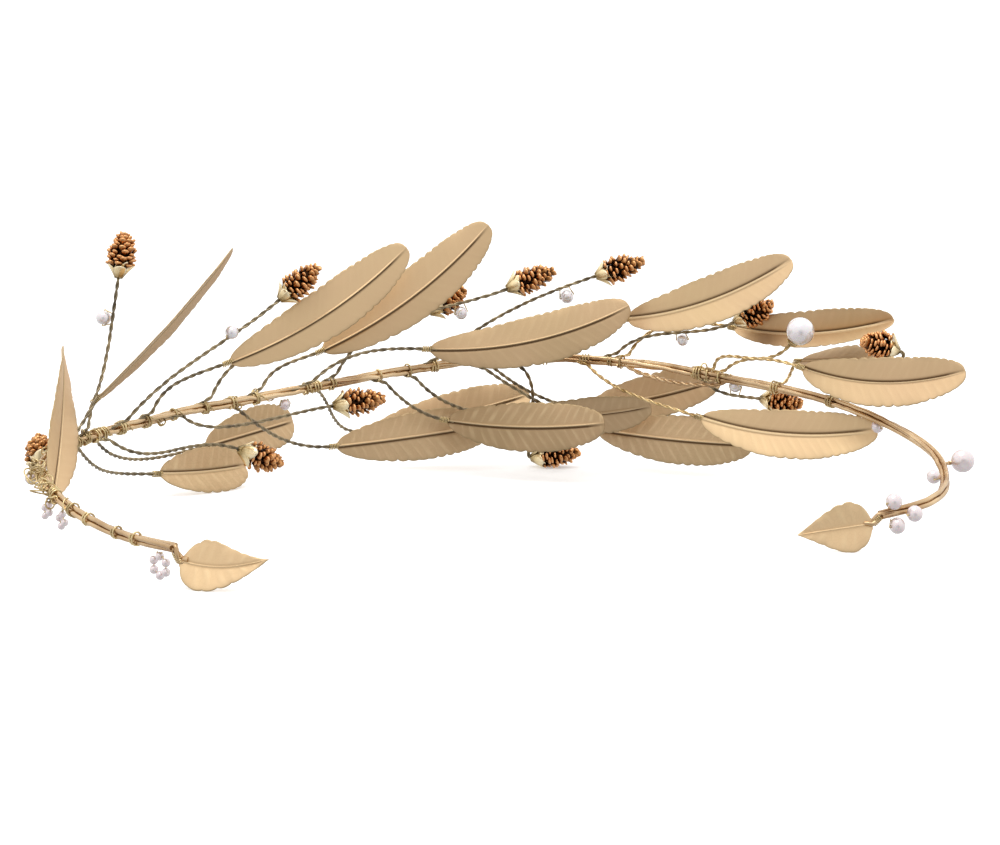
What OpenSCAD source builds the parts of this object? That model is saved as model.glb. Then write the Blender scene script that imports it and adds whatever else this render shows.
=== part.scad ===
// Leaf headband: a wired hair vine bent to an open hoop, lying on a flat surface.
// X runs right, Y runs away from the open side, Z is up. All sizes are in millimetres.

/* [Band] */
// Radius of each of the two band wires
wire_r = 0.55; // [0.45:0.05:0.7]
// Distance between the centres of the two band wires
wire_pitch = 0.9; // [0.8:0.05:1.05]

/* [Leaves] */
// Width of a long leaf at its widest
leaf_w = 9.2; // [7:0.1:9.5]
// Thickness of a leaf beside its midrib
leaf_t = 0.5; // [0.4:0.05:0.6]
// Height of the midrib above the leaf
rib_h = 0.35; // [0.2:0.05:0.5]
// How far a leaf bows towards the hoop's middle between base and tip
leaf_bow = 0.6; // [0:0.1:1]
// Depth of the notches along a leaf's edge, as a share of its width
notch = 0.08; // [0:0.01:0.12]
// Width of the two end leaves
end_leaf_w = 8.3; // [6:0.1:9]

/* [Stems] */
// Radius of a twisted stem
stem_r = 0.45; // [0.35:0.05:0.5]
// Clearance between pieces that are wired together
seat = 0.15; // [0.12:0.01:0.2]

/* [Cones] */
// Radius of a cone at its widest
cone_r = 2.4; // [1.6:0.05:2.6]
// Length of the gold cup under a cone
cup_l = 2.2; // [1.5:0.1:3]
// Radius of the cup's mouth
cup_r = 1.5; // [1:0.05:1.8]
// Rows of scales on a cone
cone_rows = 5; // [4:1:6]

/* [Hidden] */
// Sides of a stem's section, which a leaf shares with its blade
LEAF_SIDES = 8;
WIRE_SIDES = 6;
// Sections along a stem, a long blade, an end leaf and the side strand, and their spacing on the band
STEM_RINGS = 8;
BLADE_RINGS = 18;
END_RINGS = 10;
STRAND_RINGS = 10;
BAND_STEP = 4;
// Share of a stem's length over which it turns out of the band's course
EASE = 0.35;
// Length of leaf at which the bow is the full leaf_bow
BOW_L = 37;
// Half width of a blade at its tip, and length of wire between the band's end and an end leaf
TIP_W = 0.12;
END_STUB = 1.2;
// Stretch of the band beside which the side strand runs, and how far it swings in and sags
STRAND_FROM = 174;
STRAND_TO = 190;
STRAND_SWING = 0.4;
STRAND_SAG = 0.8;
// Radius of the pin under a pearl, its depth in the pearl, and the dish under the large pearl
PIN_R = 0.3;
PIN_DEPTH = 0.9;
DISH_R = 1.1;
DISH_H = 0.6;
// Neck between two rows of scales, as a share of the rim beside it, and radius of a cone near its tip
CONE_NECK = 0.72;
CONE_TIP_R = 0.5;
// Colours
LEAF_GOLD = [0.80, 0.68, 0.50];
BAND_GOLD = [0.80, 0.66, 0.42];
STEM_GOLD = [0.45, 0.42, 0.32];
CONE_BROWN = [0.55, 0.33, 0.16];
PEARL_WHITE = [0.94, 0.90, 0.88];

// Point of the hoop's own frame that lies under the middle of the whole headband
MIDDLE = [0, -18, 0];

// Route of the band, from the near left end round the far side to the near right end
ROUTE = [
    [-49.5, -70, 5.8], [-59, -60, 6.1], [-68, -49, 8], [-74, -38, 11], [-74, -27, 13],
    [-67, -14, 14.5], [-55, -1, 16], [-41, 8, 17.5], [-24, 17, 19.5], [-7, 26, 21],
    [9, 31, 21], [25, 28, 20.5], [42, 18, 19], [57, 7, 17], [67, -4, 14.5],
    [73, -17, 11.5], [73.5, -29, 8.5], [69, -39, 7], [61, -43.5, 5.7]
];

// Long leaves, left to right. Columns:
// stem, as the station where it is tied to the band, the angle at which it leaves the band and,
// where it differs from EASE, the share of its length over which it turns into the leaf's course;
// base, as station, distance outside the band and height over it;
// course, as turn from the band's course, rise and length;
// form, as roll at the tip, extra roll at the base, fold of the halves towards the hoop's middle
// and sag of the midrib.
LEAVES = [
    [[35, 53], [41, -1.7, -2.6], [-12, 40, 31.5], [8, 46, 10, 0.5]],
    [[63.5, 55], [66.8, 0.9, 6], [-17, 41, 36], [-42, 0, 8, 0.5]],
    [[61, 45], [85.4, 8, -12.05], [-1, -2, 18], [30, 0, 14, 0.5]],
    [[78, 80, 0.45], [94, -1.5, 7.5], [-16, 31.4, 37], [8, 0, -6, 2]],
    [[66, 45, 0.3], [95.3, 12, -9.5], [22, 4, 23.5], [15, 0, 10, 0]],
    [[101, 60], [113, 0.5, 6.2], [-10, 35, 37.5], [18, 0, -6, 2]],
    [[96, 45], [119, 8, -13.3], [-9, 5.2, 31], [12, 0, -6, 0.3]],
    [[112, 53], [130, 14.6, -13.3], [-20, 12, 30], [44, 0, 14, 1]],
    [[110.5, 50, 0.4], [133, -2.5, 3.6], [-21, 11.5, 37], [22, 0, -6, 2.6]],
    [[125, 53], [138, 0.5, -10.5], [-45, 2, 30], [15, 0, -6, 1]],
    [[131, 53], [151.5, 2, -11], [-32, 7, 26], [-28, 0, 10, 0.5]],
    [[147, 40, 0.3], [164, 7.5, -10], [-16, 15, 27], [30, 0, 10, 1]],
    [[145, 40, 0.1], [166, 1.8, -13.1], [-10, -2, 30], [10, 0, -8, 0.5]],
    [[158, 50], [172, 0.5, 8], [-7, 21, 34], [14, 0, 14, 2.2]],
    [[172, 75, 0.5], [190, 7, 8], [4, 6, 31], [24, 0, 40, 2]],
    [[164.8, 53], [190, -5, -7], [8, 0, 33], [16, 0, 16, 2]],
    [[203, 70], [203.5, 6.5, 4.2], [-3, 5, 18], [65, 0, 8, 0.5]],
    [[192, 50], [209, -1.5, 5], [6, 3.2, 31], [16, 0, 16, 2.4]]
];

// The two end leaves. Columns: end of the band, 0 left or 1 right, drop of the leaf's base below
// it, then course and form as above, but with the turn taken from where that end points.
END_LEAVES = [
    [0, 1.93, [32, 4, 14], [205, 0, 8, 1.2]],
    [1, 1, [-29, -9, 12.2], [166, 0, 8, 0]]
];

// Cones, left to right. Columns: stem and base of the gold cup as a leaf's, then the turn from
// the band's course, the rise and the length of cup and cone.
CONES = [
    [[53, 70], [57, 5.2, -4.5], [35, 47, 7]],
    [[60, 28, 0.45], [72.4, 1.2, 25.3], [-22, 80, 8.2]],
    [[67.5, 56], [96, 0, -8.5], [-9, -22, 9]],
    [[72, 60], [101.2, -6.5, 17.8], [-22, 40, 9.5]],
    [[84.3, 100], [113, -3.5, -3.3], [-10, 6, 10]],
    [[91, 60], [135.7, 3.5, 9.2], [-10, 31, 8]],
    [[115.5, 60], [149, -1, 13], [-8, 20, 10]],
    [[152, 30, 0.1], [155, 5.5, -19.46], [-16, 8, 9.5]],
    [[136, 32], [165, 5.5, 14.8], [11, 18, 10]],
    [[170, 50], [192, 2.8, 9.8], [10, 27, 8.5]],
    [[187, 60], [198, 2, -3], [12, -5, 8]],
    [[215, 60], [222.7, 7.2, 10.6], [-113, 17, 7.5]]
];

// Beads wired beside a cone's stem. Columns: cone's number from 1, share of the stem's length from
// the band, bearing round the stem and the bead's diameter.
STEM_BEADS = [
    [2, 0.8, 0, 2.6],
    [4, 0.69, 135, 2.4],
    [7, 0.76, -90, 2.4],
    [9, 0.82, -90, 2.6],
    [10, 0.57, -60, 2.2],
    [11, 0.6, 90, 2.4]
];

// Pearls wired to the band, one group a row. Each pearl's columns: station, bearing round the band
// with 0 outwards and 90 upwards, diameter, distance off the band, and 1 where a pin bears it.
BAND_PEARLS = [
    [[3.6, -90, 1.4, 0, 0], [5.1, -90, 1.4, 0.8, 0], [5.1, -90, 1.4, 2.3, 0],
        [3.6, -90, 1.4, 3, 0], [2.1, -90, 1.4, 2.3, 0], [2.1, -90, 1.4, 0.8, 0]],
    [[31, -90, 1.2, 0.4, 0], [32, -90, 1.2, 1.4, 0], [31, -90, 1.2, 2.4, 0], [30, -90, 1.2, 1.4, 0],
        [35, -75, 1.2, 0.4, 0], [36, -75, 1.2, 1.4, 0], [35, -75, 1.2, 2.4, 0], [34, -75, 1.2, 1.4, 0],
        [43.5, -30, 2.2, 0, 0]],
    [[105, -90, 2, 0, 0]],
    [[224, -60, 2.2, 0, 0]],
    [[247, 10, 4, 0.9, 1], [252, 180, 2.4, 0, 0]],
    [[273, 60, 2.7, 0, 0], [273, -50, 2.7, 0, 0], [270, -10, 2.7, 0, 0]]
];

// The large pearl on its own stem. Columns: stem and base as a cone's, turn and rise, diameter.
STEM_PEARL = [[189.7, 80, 0.45], [207, -3, 9], [0, 50], 5];

LEAF_NAMES = [for (i = [1:len(LEAVES)]) str("leaf_", i < 10 ? "0" : "", i)];
CONE_NAMES = [for (i = [1:len(CONES)]) str("cone_", i < 10 ? "0" : "", i)];
CONE_STEM_NAMES = [for (i = [1:len(CONES)]) str("cone_stem_", i < 10 ? "0" : "", i)];
END_NAMES = ["end_leaf_left", "end_leaf_right"];
STEM_BEAD_NAMES = [for (i = [1:len(STEM_BEADS)]) str("stem_bead_", i)];
PEARL_NAMES = [for (i = [1:len(BAND_PEARLS)]) str("band_pearls_", i)];

// Vectors and curves
UP = [0, 0, 1];
function unit(v) = v / norm(v);
function across(v, axis) = unit(v - (v * axis) * axis);
function heading(azimuth, rise) = [cos(azimuth) * cos(rise), sin(azimuth) * cos(rise), sin(rise)];
function azimuth_of(v) = atan2(v.y, v.x);
function spline(a, b, c, d, t) =
    b + 0.5 * t * ((c - a) + t * ((2 * a - 5 * b + 4 * c - d) + t * (3 * (b - c) + d - a)));
function bezier(a, b, c, d, t) =
    pow(1 - t, 3) * a + 3 * t * pow(1 - t, 2) * b + 3 * t * t * (1 - t) * c + pow(t, 3) * d;

// Course of the band: a smooth curve through the route's points, measured by its length
SPLITS = 12;
LAST = len(ROUTE) - 1;
BEFORE = 2 * ROUTE[0] - ROUTE[1];
AFTER = 2 * ROUTE[LAST] - ROUTE[LAST - 1];
function route_point(i) = i < 0 ? BEFORE : i > LAST ? AFTER : ROUTE[i];
function leg(i, t) =
    spline(route_point(i - 1), route_point(i), route_point(i + 1), route_point(i + 2), t);
COURSE = concat([for (i = [0:LAST - 1], k = [0:SPLITS - 1]) leg(i, k / SPLITS)], [ROUTE[LAST]]);
function leg_length(i) = i < len(COURSE) ? norm(COURSE[i] - COURSE[i - 1]) : 0;
LENGTHS = [for (i = 0, s = 0; i < len(COURSE); i = i + 1, s = s + leg_length(i)) s];
BAND_L = LENGTHS[len(COURSE) - 1];
function course_index(s) = min(max(len([for (l = LENGTHS) if (l <= s) 1]) - 1, 0), len(COURSE) - 2);
function on_course(s, i) =
    COURSE[i] + (s - LENGTHS[i]) / (LENGTHS[i + 1] - LENGTHS[i]) * (COURSE[i + 1] - COURSE[i]);
function band_at(s) = on_course(s, course_index(s));
function band_course(s) = unit(band_at(s + 1) - band_at(s - 1));
function band_azimuth(s) = azimuth_of(band_course(s));
function outwards(s) = heading(band_azimuth(s) + 90, 0);
function beside_band(p) = band_at(p[0]) + p[1] * outwards(p[0]) + p[2] * UP;
function band_bearing(s, angle) =
    across(cos(angle) * outwards(s) + sin(angle) * UP, band_course(s));
function band_reach(s, bearing) =
    wire_r + wire_pitch / 2 * abs(bearing * band_bearing(s, 90));

// Lofted skins: each ring is a list of points, and every ring has the same number of them
function ring(centre, side, face, outline) = [for (p = outline) centre + p.x * side + p.y * face];
function circle_outline(r, n) = [for (k = [0:n - 1]) [-r * cos(360 * k / n), r * sin(360 * k / n)]];
function middle(r) = [for (p = r) 1] * r / len(r);
module loft(rings) {
    n = len(rings[0]);
    m = len(rings);
    points = concat([for (r = rings) each r], [middle(rings[0]), middle(rings[m - 1])]);
    polyhedron(points, concat(
        [for (j = [0:m - 2], k = [0:n - 1]) [j * n + k, (j + 1) * n + k, (j + 1) * n + (k + 1) % n]],
        [for (j = [0:m - 2], k = [0:n - 1]) [j * n + k, (j + 1) * n + (k + 1) % n, j * n + (k + 1) % n]],
        [for (k = [0:n - 1]) [m * n, k, (k + 1) % n]],
        [for (k = [0:n - 1]) [m * n + 1, (m - 1) * n + (k + 1) % n, (m - 1) * n + k]]));
}

// Course of a stem from its tie on the band to a foot, which it meets in the direction along
function tie_normal(tie, foot) = across(foot - band_at(tie[0]), band_course(tie[0]));
function tie_point(tie, foot) =
    let (n = tie_normal(tie, foot)) band_at(tie[0]) + (band_reach(tie[0], n) + seat + stem_r) * n;
function tie_course(tie, foot) =
    cos(tie[1]) * band_course(tie[0]) + sin(tie[1]) * tie_normal(tie, foot);
function stem_point(tie, foot, along, t) =
    let (a = tie_point(tie, foot), d = norm(foot - a), share = len(tie) > 2 ? tie[2] : EASE)
        bezier(a, a + EASE * d * tie_course(tie, foot), foot - share * d * along, foot, t);
function stem_course(tie, foot, along, t) =
    unit(stem_point(tie, foot, along, t + 0.01) - stem_point(tie, foot, along, t - 0.01));
function stem_rings(tie, foot, along, face, n) = [
    for (i = [0:STEM_RINGS - 1])
        let (t = i / STEM_RINGS, c = stem_course(tie, foot, along, t), f = across(face, c))
            ring(stem_point(tie, foot, along, t), cross(c, f), f, circle_outline(stem_r, n))
];

// Blade of a leaf: a folded, curved sheet round a raised midrib, with notched edges. Its frame
// holds the straight line from base to tip, the direction inwards and the one across both.
function long_width(u) = pow(sin(180 * pow(u, 1.25)), 0.4);
function ovate_width(u) = 1.08 * sin(180 * pow(u, 0.62)) * (1 - 0.25 * u);
function blade_frame(along, inwards) =
    let (i = across(inwards, along)) [along, i, cross(i, along)];
function blade_face(frame, roll) = cos(roll) * frame[1] + sin(roll) * frame[2];
function blade_side(frame, roll) = cos(roll) * frame[2] - sin(roll) * frame[1];
function blade_dip(frame, l, form) =
    form[3] * blade_side(frame, form[0]) - leaf_bow * l / BOW_L * blade_face(frame, form[0]);
function blade_point(foot, frame, l, form, u) =
    foot + l * u * frame[0] - 4 * u * (1 - u) * blade_dip(frame, l, form);
function blade_course(frame, l, form, u) =
    unit(l * frame[0] - 4 * (1 - 2 * u) * blade_dip(frame, l, form));
function blade_outline(half, fold) =
    let (w = half * cos(fold), h = half * sin(fold), t = min(leaf_t / 2, half * 0.8),
        r = min(rib_h, half * 0.5))
        [[-w, h], [-w / 2, h / 2 + t], [0, t + r], [w / 2, h / 2 + t],
            [w, h], [w / 2, h / 2 - t], [0, -t - r / 2], [-w / 2, h / 2 - t]];
function blade_ring(foot, frame, l, half, form, u) =
    let (c = blade_course(frame, l, form, u), roll = form[0] + form[1] * (1 - u),
        s = across(blade_side(frame, roll), c))
        ring(blade_point(foot, frame, l, form, u), -s, cross(-s, c), blade_outline(half, form[2]));
function long_blade(foot, frame, l, form) = [
    for (i = [0:BLADE_RINGS])
        let (u = 0.01 + 0.98 * i / BLADE_RINGS, tooth = i % 2 == 0 ? 1 - notch : 1,
            half = i == 0 ? stem_r : max(leaf_w / 2 * long_width(u) * tooth, TIP_W))
            blade_ring(foot, frame, l, half, form, u)
];
function ovate_blade(foot, frame, l, form) = [
    for (i = [0:END_RINGS])
        let (u = 0.01 + 0.98 * i / END_RINGS, tooth = i % 2 == 0 ? 1 - notch : 1,
            half = i == 0 ? wire_r : max(end_leaf_w / 2 * ovate_width(u) * tooth, TIP_W))
            blade_ring(foot, frame, l, half, form, u)
];

module in_place() {
    translate(-MIDDLE) children();
}

// Two parallel wires soldered one above the other
module band() {
    steps = round(BAND_L / BAND_STEP);
    waist = sqrt(wire_r * wire_r - wire_pitch * wire_pitch / 4);
    lobe = [for (a = [200, 145, 90, 35, -20]) [wire_r * cos(a), wire_pitch / 2 + wire_r * sin(a)]];
    outline = concat(lobe, [[waist, 0]], [for (p = lobe) -p], [[-waist, 0]]);
    color(BAND_GOLD) in_place()
        loft([for (i = [0:steps])
            let (s = BAND_L * i / steps, c = band_course(s), f = across(UP, c))
                ring(band_at(s), cross(c, f), f, outline)]);
}

// Loose strand that leaves the band right of the middle, sags below it and comes back
module band_side_strand() {
    drop = wire_r + wire_pitch / 2 + seat + stem_r;
    color(BAND_GOLD) in_place()
        loft([for (i = [0:STRAND_RINGS])
            let (u = i / STRAND_RINGS, s = STRAND_FROM + (STRAND_TO - STRAND_FROM) * u,
                c = band_course(s), f = across(UP, c), out = -STRAND_SWING * sin(180 * u),
                down = drop + STRAND_SAG * sin(180 * u))
                ring(beside_band([s, out, -down]), cross(c, f), f, circle_outline(stem_r, WIRE_SIDES))]);
}

// Long leaf with its stem
module leaf(row) {
    foot = beside_band(row[1]);
    course = row[2];
    form = row[3];
    along = heading(band_azimuth(row[1][0]) + course[0], course[1]);
    frame = blade_frame(along, -outwards(row[1][0]));
    start = blade_course(frame, course[2], form, 0);
    color(LEAF_GOLD) in_place()
        loft(concat(
            stem_rings(row[0], foot, start, blade_face(frame, form[0] + form[1]), LEAF_SIDES),
            long_blade(foot, frame, course[2], form)));
}

// Small ovate leaf that ends the band
module end_leaf(row) {
    end = row[0] * BAND_L;
    away = (2 * row[0] - 1) * band_course(end);
    course = row[2];
    butt = band_at(end) + seat * away;
    along = heading(azimuth_of(away) + course[0], course[1]);
    frame = blade_frame(along, -outwards(end));
    face = across(blade_face(frame, row[3][0]), away);
    foot = butt + END_STUB * unit(away + along) - row[1] * UP;
    stub = ring(butt, cross(away, face), face, circle_outline(wire_r, LEAF_SIDES));
    color(LEAF_GOLD) in_place()
        loft(concat([stub], ovate_blade(foot, frame, course[2], row[3])));
}

function cone_along(row) = heading(band_azimuth(row[1][0]) + row[2][0], row[2][1]);

// Twisted stem that widens into the gold cup under a cone
module cone_stem(row) {
    foot = beside_band(row[1]);
    along = cone_along(row);
    face = across(outwards(row[0][0]), along);
    side = cross(along, face);
    cup = [[0, stem_r], [0.25, 0.7 * cup_r], [0.6, 0.95 * cup_r], [1, cup_r]];
    color(STEM_GOLD) in_place()
        loft(concat(stem_rings(row[0], foot, along, face, WIRE_SIDES),
            [for (p = cup)
                ring(foot + p[0] * cup_l * along, side, face, circle_outline(p[1], WIRE_SIDES))]));
}

// Cone body: rows of scales, each a rim that slopes back to a narrow neck
module cone(row) {
    along = cone_along(row);
    l = row[2][2] - cup_l - seat;
    step = l / (cone_rows + 0.5);
    rims = [for (i = [0:cone_rows - 1])
        let (r = cone_r * sin(40 + 125 * i / cone_rows))
            each [[CONE_NECK * r, i * step], [r, (i + 0.75) * step]]];
    color(CONE_BROWN) in_place()
        translate(beside_band(row[1]) + (cup_l + seat) * along)
            rotate([0, 90 - row[2][1], azimuth_of(along)])
                rotate_extrude($fn = 32)
                    polygon(concat([[0, 0]], rims, [[CONE_TIP_R, l - step / 3], [0, l]]));
}

// Bead seated beside a cone's stem
module stem_bead(row) {
    stem = CONES[row[0] - 1];
    foot = beside_band(stem[1]);
    along = cone_along(stem);
    c = stem_course(stem[0], foot, along, row[1]);
    side = across(outwards(stem[0][0]), c);
    bearing = cos(row[2]) * side + sin(row[2]) * cross(c, side);
    color(PEARL_WHITE) in_place()
        translate(stem_point(stem[0], foot, along, row[1]) + (stem_r + seat + row[3] / 2) * bearing)
            sphere(d = row[3], $fn = 32);
}

// One pearl beside the band, drilled for its pin where it has one
module band_pearl(p) {
    bearing = band_bearing(p[0], p[1]);
    root = band_at(p[0]) + (band_reach(p[0], bearing) + seat) * bearing;
    turned = [0, 90 - asin(bearing.z), azimuth_of(bearing)];
    difference() {
        translate(root + (p[3] + p[2] / 2) * bearing) sphere(d = p[2], $fn = 32);
        if (p[4] == 1)
            translate(root) rotate(turned)
                cylinder(r = PIN_R + seat, h = p[3] + PIN_DEPTH + seat, $fn = 24);
    }
    if (p[4] == 1)
        translate(root) rotate(turned) cylinder(r = PIN_R, h = p[3] + PIN_DEPTH, $fn = 24);
}

module band_pearls(group) {
    color(PEARL_WHITE) in_place()
        for (p = group) band_pearl(p);
}

function pearl_along() =
    heading(band_azimuth(STEM_PEARL[1][0]) + STEM_PEARL[2][0], STEM_PEARL[2][1]);

// Stem of the large pearl, with a small gold dish under it
module pearl_stem() {
    foot = beside_band(STEM_PEARL[1]);
    along = pearl_along();
    face = across(outwards(STEM_PEARL[0][0]), along);
    side = cross(along, face);
    dish = [[0, stem_r], [DISH_H / 2, 0.8 * DISH_R], [DISH_H, DISH_R]];
    color(STEM_GOLD) in_place()
        loft(concat(stem_rings(STEM_PEARL[0], foot, along, face, WIRE_SIDES),
            [for (p = dish) ring(foot + p[0] * along, side, face, circle_outline(p[1], WIRE_SIDES))]));
}

module large_pearl() {
    d = STEM_PEARL[3];
    color(PEARL_WHITE) in_place()
        translate(beside_band(STEM_PEARL[1]) + (DISH_H + seat + d / 2) * pearl_along())
            sphere(d = d, $fn = 48);
}

band();
band_side_strand();
pearl_stem();
large_pearl();
for (i = [0:len(END_NAMES) - 1])
    end_leaf(END_LEAVES[i]);
for (i = [0:len(LEAF_NAMES) - 1])
    leaf(LEAVES[i]);
for (i = [0:len(CONE_NAMES) - 1])
    cone(CONES[i]);
for (i = [0:len(CONE_STEM_NAMES) - 1])
    cone_stem(CONES[i]);
for (i = [0:len(STEM_BEAD_NAMES) - 1])
    stem_bead(STEM_BEADS[i]);
for (i = [0:len(PEARL_NAMES) - 1])
    band_pearls(BAND_PEARLS[i]);
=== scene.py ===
"""Leaf headband: a wired hair vine with stamped leaves, pine cones and pearls, lying on a pale floor.

Sizes are in millimetres in the headband's own measures, and become metres where a mesh is made.
X runs right, Y runs away from the open side and Z is up.
"""
import math

import bmesh
import bpy
import numpy as np
from mathutils import Matrix, Vector


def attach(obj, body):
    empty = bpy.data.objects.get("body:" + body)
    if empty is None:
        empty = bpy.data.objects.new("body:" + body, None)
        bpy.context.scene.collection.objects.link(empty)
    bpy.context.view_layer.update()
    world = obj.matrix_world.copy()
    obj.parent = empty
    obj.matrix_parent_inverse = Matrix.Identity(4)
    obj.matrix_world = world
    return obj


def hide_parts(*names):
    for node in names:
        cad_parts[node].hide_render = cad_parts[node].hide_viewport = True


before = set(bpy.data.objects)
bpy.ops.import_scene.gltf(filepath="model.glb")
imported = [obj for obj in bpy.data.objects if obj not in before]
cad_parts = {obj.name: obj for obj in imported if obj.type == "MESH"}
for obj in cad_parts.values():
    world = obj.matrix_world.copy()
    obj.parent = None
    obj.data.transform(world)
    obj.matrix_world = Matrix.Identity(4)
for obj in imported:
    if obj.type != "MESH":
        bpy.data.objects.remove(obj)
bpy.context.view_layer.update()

MM = 0.001
BODY = "root"
UP = np.array([0.0, 0.0, 1.0])

# Sizes of the band, the stems, the leaves, the gold cups and the large pearl's dish
WIRE_R = 0.55
WIRE_PITCH = 0.9
STEM_R = 0.45
SEAT = 0.15
LEAF_W = 9.2
END_LEAF_W = 8.3
LEAF_BOW = 0.6
BOW_L = 37
EASE = 0.35
END_STUB = 1.2
CUP_L = 2.2
DISH_R = 1.1
DISH_H = 0.6

# Point of the hoop's own measures that lies under the middle of the whole headband
MIDDLE = np.array([0.0, -18.0, 0.0])

# The tables down to STEM_PEARL repeat those of the part's source. Scratch scripts worked out most of
# their stations, places and courses from points read off the photo, and many were then changed by
# hand. So they record a fit to the photo and are not a design from driving dimensions.

# Route of the band, from the near left end round the far side to the near right end
ROUTE = [
    (-49.5, -70, 5.8), (-59, -60, 6.1), (-68, -49, 8), (-74, -38, 11), (-74, -27, 13),
    (-67, -14, 14.5), (-55, -1, 16), (-41, 8, 17.5), (-24, 17, 19.5), (-7, 26, 21),
    (9, 31, 21), (25, 28, 20.5), (42, 18, 19), (57, 7, 17), (67, -4, 14.5),
    (73, -17, 11.5), (73.5, -29, 8.5), (69, -39, 7), (61, -43.5, 5.7),
]

# Long leaves, left to right. Columns: stem, as the station where it is tied to the band and the angle
# at which it leaves, with its own easing where it has one; base, as station, distance outside the
# band and height over it; course, as turn from the band's course, rise and length; form, as roll at
# the tip, extra roll at the base, fold and sag of the midrib; look, as depth of the veins, painted light
# level, low on leaves that lie in shade, and width of the midrib, which is negative where the painted
# shade in the groove beside it lies on its lower side.
LEAVES = [
    ((35, 53), (41, -1.7, -2.6), (-12, 40, 31.5), (8, 46, 10, 0.5), (0.3, 0.6, 0.8)),
    ((63.5, 55), (66.8, 0.9, 6), (-17, 41, 36), (-42, 0, 8, 0.5), (0.3, 0.35, 1)),
    ((61, 45), (85.4, 8, -12.05), (-1, -2, 18), (30, 0, 14, 0.5), (1.2, 0.55, 1.5)),
    ((78, 80, 0.45), (94, -1.5, 7.5), (-16, 31.4, 37), (8, 0, -6, 2), (0.2, 0.8, -0.7)),
    ((66, 45, 0.3), (95.3, 12, -9.5), (22, 4, 23.5), (15, 0, 10, 0), (1.0, 0.4, -1)),
    ((101, 60), (113, 0.5, 6.2), (-10, 35, 37.5), (18, 0, -6, 2), (0.2, 0.5, -0.7)),
    ((96, 45), (119, 8, -13.3), (-9, 5.2, 31), (12, 0, -6, 0.3), (0.9, 0.35, -1)),
    ((112, 53), (130, 14.6, -13.3), (-20, 12, 30), (44, 0, 14, 1), (0.6, 0.3, -1)),
    ((110.5, 50, 0.4), (133, -2.5, 3.6), (-21, 11.5, 37), (22, 0, -6, 2.6), (0.3, 0.25, -0.7)),
    ((125, 53), (138, 0.5, -10.5), (-45, 2, 30), (15, 0, -6, 1), (0.9, 0.0, -1)),
    ((131, 53), (151.5, 2, -11), (-32, 7, 26), (-28, 0, 10, 0.5), (0.6, 0.2, -1)),
    ((147, 40, 0.3), (164, 7.5, -10), (-16, 15, 27), (30, 0, 10, 1), (0.6, 0.25, -1)),
    ((145, 40, 0.1), (166, 1.8, -13.1), (-10, -2, 30), (10, 0, -8, 0.5), (1.2, 0.3, -1)),
    ((158, 50), (172, 0.5, 8), (-7, 21, 34), (14, 0, 14, 2.2), (0.3, 0.72, 1.7)),
    ((172, 75, 0.5), (190, 7, 8), (4, 6, 31), (24, 0, 40, 2), (0.3, 0.5, 1.7)),
    ((164.8, 53), (190, -5, -7), (8, 0, 33), (16, 0, 16, 2), (0.4, 0.68, 1.7)),
    ((203, 70), (203.5, 6.5, 4.2), (-3, 5, 18), (65, 0, 8, 0.5), (0.4, 0.1, 1)),
    ((192, 50), (209, -1.5, 5), (6, 3.2, 31), (16, 0, 16, 2.4), (0.3, 0.5, 0.8)),
]

# The two end leaves. Columns: name, end of the band (0 left, 1 right), drop of the leaf's base, then
# course, form and look as above, with the turn taken from where that end points.
END_LEAVES = [
    ("end_leaf_left", 0, 1.93, (32, 4, 14), (205, 0, 8, 1.2), (0.7, 0.7, 0.45)),
    ("end_leaf_right", 1, 1, (-29, -9, 12.2), (166, 0, 8, 0), (0.8, 0.9, 0.4)),
]

# Cones, left to right. Columns: stem and base of the gold cup as a leaf's, then the turn from the
# band's course, the rise and the length of cup and cone.
CONES = [
    ((53, 70), (57, 5.2, -4.5), (35, 47, 7)),
    ((60, 28, 0.45), (72.4, 1.2, 25.3), (-22, 80, 8.2)),
    ((67.5, 56), (96, 0, -8.5), (-9, -22, 9)),
    ((72, 60), (101.2, -6.5, 17.8), (-22, 40, 9.5)),
    ((84.3, 100), (113, -3.5, -3.3), (-10, 6, 10)),
    ((91, 60), (135.7, 3.5, 9.2), (-10, 31, 8)),
    ((115.5, 60), (149, -1, 13), (-8, 20, 10)),
    ((152, 30, 0.1), (155, 5.5, -19.46), (-16, 8, 9.5)),
    ((136, 32), (165, 5.5, 14.8), (11, 18, 10)),
    ((170, 50), (192, 2.8, 9.8), (10, 27, 8.5)),
    ((187, 60), (198, 2, -3), (12, -5, 8)),
    ((215, 60), (222.7, 7.2, 10.6), (-113, 17, 7.5)),
]

# Beads wired beside a cone's stem. Columns: cone's number from 1, share of the stem's length from
# the band, bearing round the stem and the bead's diameter.
STEM_BEADS = [(2, 0.8, 0, 2.6), (4, 0.69, 135, 2.4), (7, 0.76, -90, 2.4), (9, 0.82, -90, 2.6),
              (10, 0.57, -60, 2.2), (11, 0.6, 90, 2.4)]

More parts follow.
